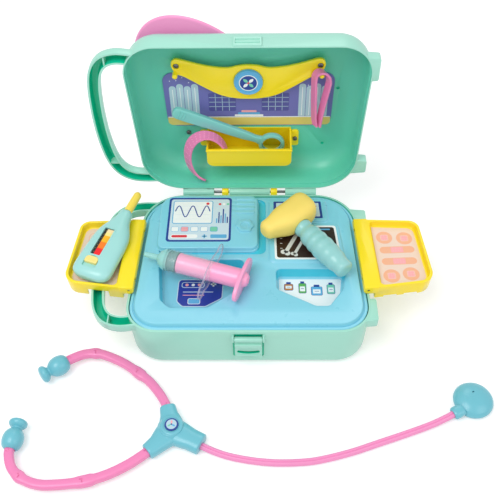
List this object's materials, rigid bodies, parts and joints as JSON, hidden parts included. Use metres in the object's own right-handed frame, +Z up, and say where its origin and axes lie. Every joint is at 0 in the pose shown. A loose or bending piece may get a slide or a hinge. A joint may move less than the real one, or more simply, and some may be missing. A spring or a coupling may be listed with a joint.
{
  "type": "toy doctor case",
  "caption": "Hinged play case with carry handle, front latch, fold-out side trays, moulded deck, lid pocket, hanging tools, syringe, reflex hammer, thermometer and stethoscope.",
  "frame": {"origin": "centre of the base's flat underside", "axes": "+X to the right seen from the latch, +Y from the latch to the hinge, +Z up; the lid stands open at 90 degrees"},
  "size_m": [0.5166, 0.409, 0.2922],
  "materials": {
    "backdrop": "printed card",
    "card": "printed card",
    "case_green": "glossy moulded polypropylene",
    "clear": "clear plastic",
    "deck_blue": "glossy moulded tray insert",
    "hammer_yellow": "soft squeaky vinyl",
    "light_pink": "glossy",
    "mirror": "silvered film",
    "pink": "glossy",
    "seal_grey": "soft seal",
    "steel": "zinc plated",
    "teal": "glossy",
    "tube_pink": "soft vinyl",
    "xray": "printed card",
    "yellow": "glossy"
  },
  "bodies": {
    "base": {"base_shell": "case_green", "deck": "deck_blue", "hinge_pin": "steel", "hinge_clip_left": "yellow", "hinge_clip_right": "yellow", "monitor_card": "card", "chart_card": "card", "xray_card": "xray", "bottle_card": "card", "recess_label": "card"},
    "lid": {"lid_shell": "case_green", "emblem": "pink", "emblem_screw_1": "steel", "emblem_screw_2": "steel", "emblem_screw_3": "steel", "wing_plate": "yellow", "wing_badge": "card", "wing_screw_left": "steel", "wing_screw_right": "steel", "pocket": "yellow", "pocket_screw_left": "steel", "pocket_screw_right": "steel", "backdrop_card": "backdrop"},
    "latch": {"latch_flap": "case_green"},
    "left_tray": {"tray_left": "yellow", "tray_pin_left": "steel", "tray_card_left": "card"},
    "right_tray": {"tray_right": "yellow", "tray_pin_right": "steel", "tray_card_right": "card"},
    "thermometer": {"thermometer_body": "teal", "thermometer_probe": "yellow", "thermometer_scale": "card"},
    "thermometer_switch": {"thermometer_button": "yellow"},
    "syringe": {"syringe_barrel": "clear"},
    "plunger": {"syringe_plunger": "light_pink", "syringe_seal": "seal_grey"},
    "hammer": {"hammer_head": "hammer_yellow", "hammer_grip": "teal"},
    "mirror": {"mirror_frame": "teal", "mirror_disc": "mirror"},
    "band": {"plaster_band": "pink"},
    "tweezer": {"tweezers": "pink"},
    "stethoscope": {"yoke": "teal", "yoke_badge": "card", "ear_arm_top": "pink", "ear_arm_low": "pink", "ear_tip_top": "teal", "ear_tip_low": "teal", "stethoscope_tube": "tube_pink", "chest_cup": "teal", "chest_ring": "teal"}
  },
  "joints": [
    {"name": "lid_hinge", "type": "hinge", "parent": "base", "child": "lid", "pos_m": [0, 0.1075, 0.066], "axis": [-1, 0, 0], "range_deg": [-45, 0]},
    {"name": "latch_hinge", "type": "hinge", "parent": "base", "child": "latch", "pos_m": [0, -0.105, 0.056], "axis": [-1, 0, 0], "range_deg": [0, 170]},
    {"name": "left_tray_fold", "type": "hinge", "parent": "base", "child": "left_tray", "pos_m": [-0.1294, -0.00005, 0.072], "axis": [0.0431, 0.9991, 0], "range_deg": [0, 50]},
    {"name": "right_tray_fold", "type": "hinge", "parent": "base", "child": "right_tray", "pos_m": [0.1294, -0.00005, 0.072], "axis": [0.0431, -0.9991, 0], "range_deg": [0, 90]},
    {"name": "thermometer_lift", "type": "slide", "parent": "left_tray", "child": "thermometer", "axis": [0, 0, 1], "range_m": [0, 0.015]},
    {"name": "thermometer_switch_slide", "type": "slide", "parent": "thermometer", "child": "thermometer_switch", "axis": [-0.3487, -0.9336, -0.0827], "range_m": [0, 0.006]},
    {"name": "syringe_lift", "type": "slide", "parent": "base", "child": "syringe", "axis": [0, 0, 1], "range_m": [0, 0.06]},
    {"name": "plunger_slide", "type": "slide", "parent": "syringe", "child": "plunger", "axis": [0.9501, -0.312, 0], "range_m": [0, 0.034]},
    {"name": "hammer_lift", "type": "slide", "parent": "base", "child": "hammer", "axis": [0, 0, 1], "range_m": [0, 0.045]},
    {"name": "mirror_lift", "type": "slide", "parent": "lid", "child": "mirror", "axis": [0, -0.2425, 0.9701], "range_m": [0, 0.06]},
    {"name": "band_lift", "type": "slide", "parent": "lid", "child": "band", "axis": [0, 0, 1], "range_m": [0, 0.03]},
    {"name": "tweezer_lift", "type": "slide", "parent": "lid", "child": "tweezer", "axis": [0, -0.9397, 0.342], "range_m": [0, 0.025]},
    {"name": "stethoscope_lift", "type": "slide", "parent": "base", "child": "stethoscope", "axis": [0, 0, 1], "range_m": [0, 0.05]}
  ]
}
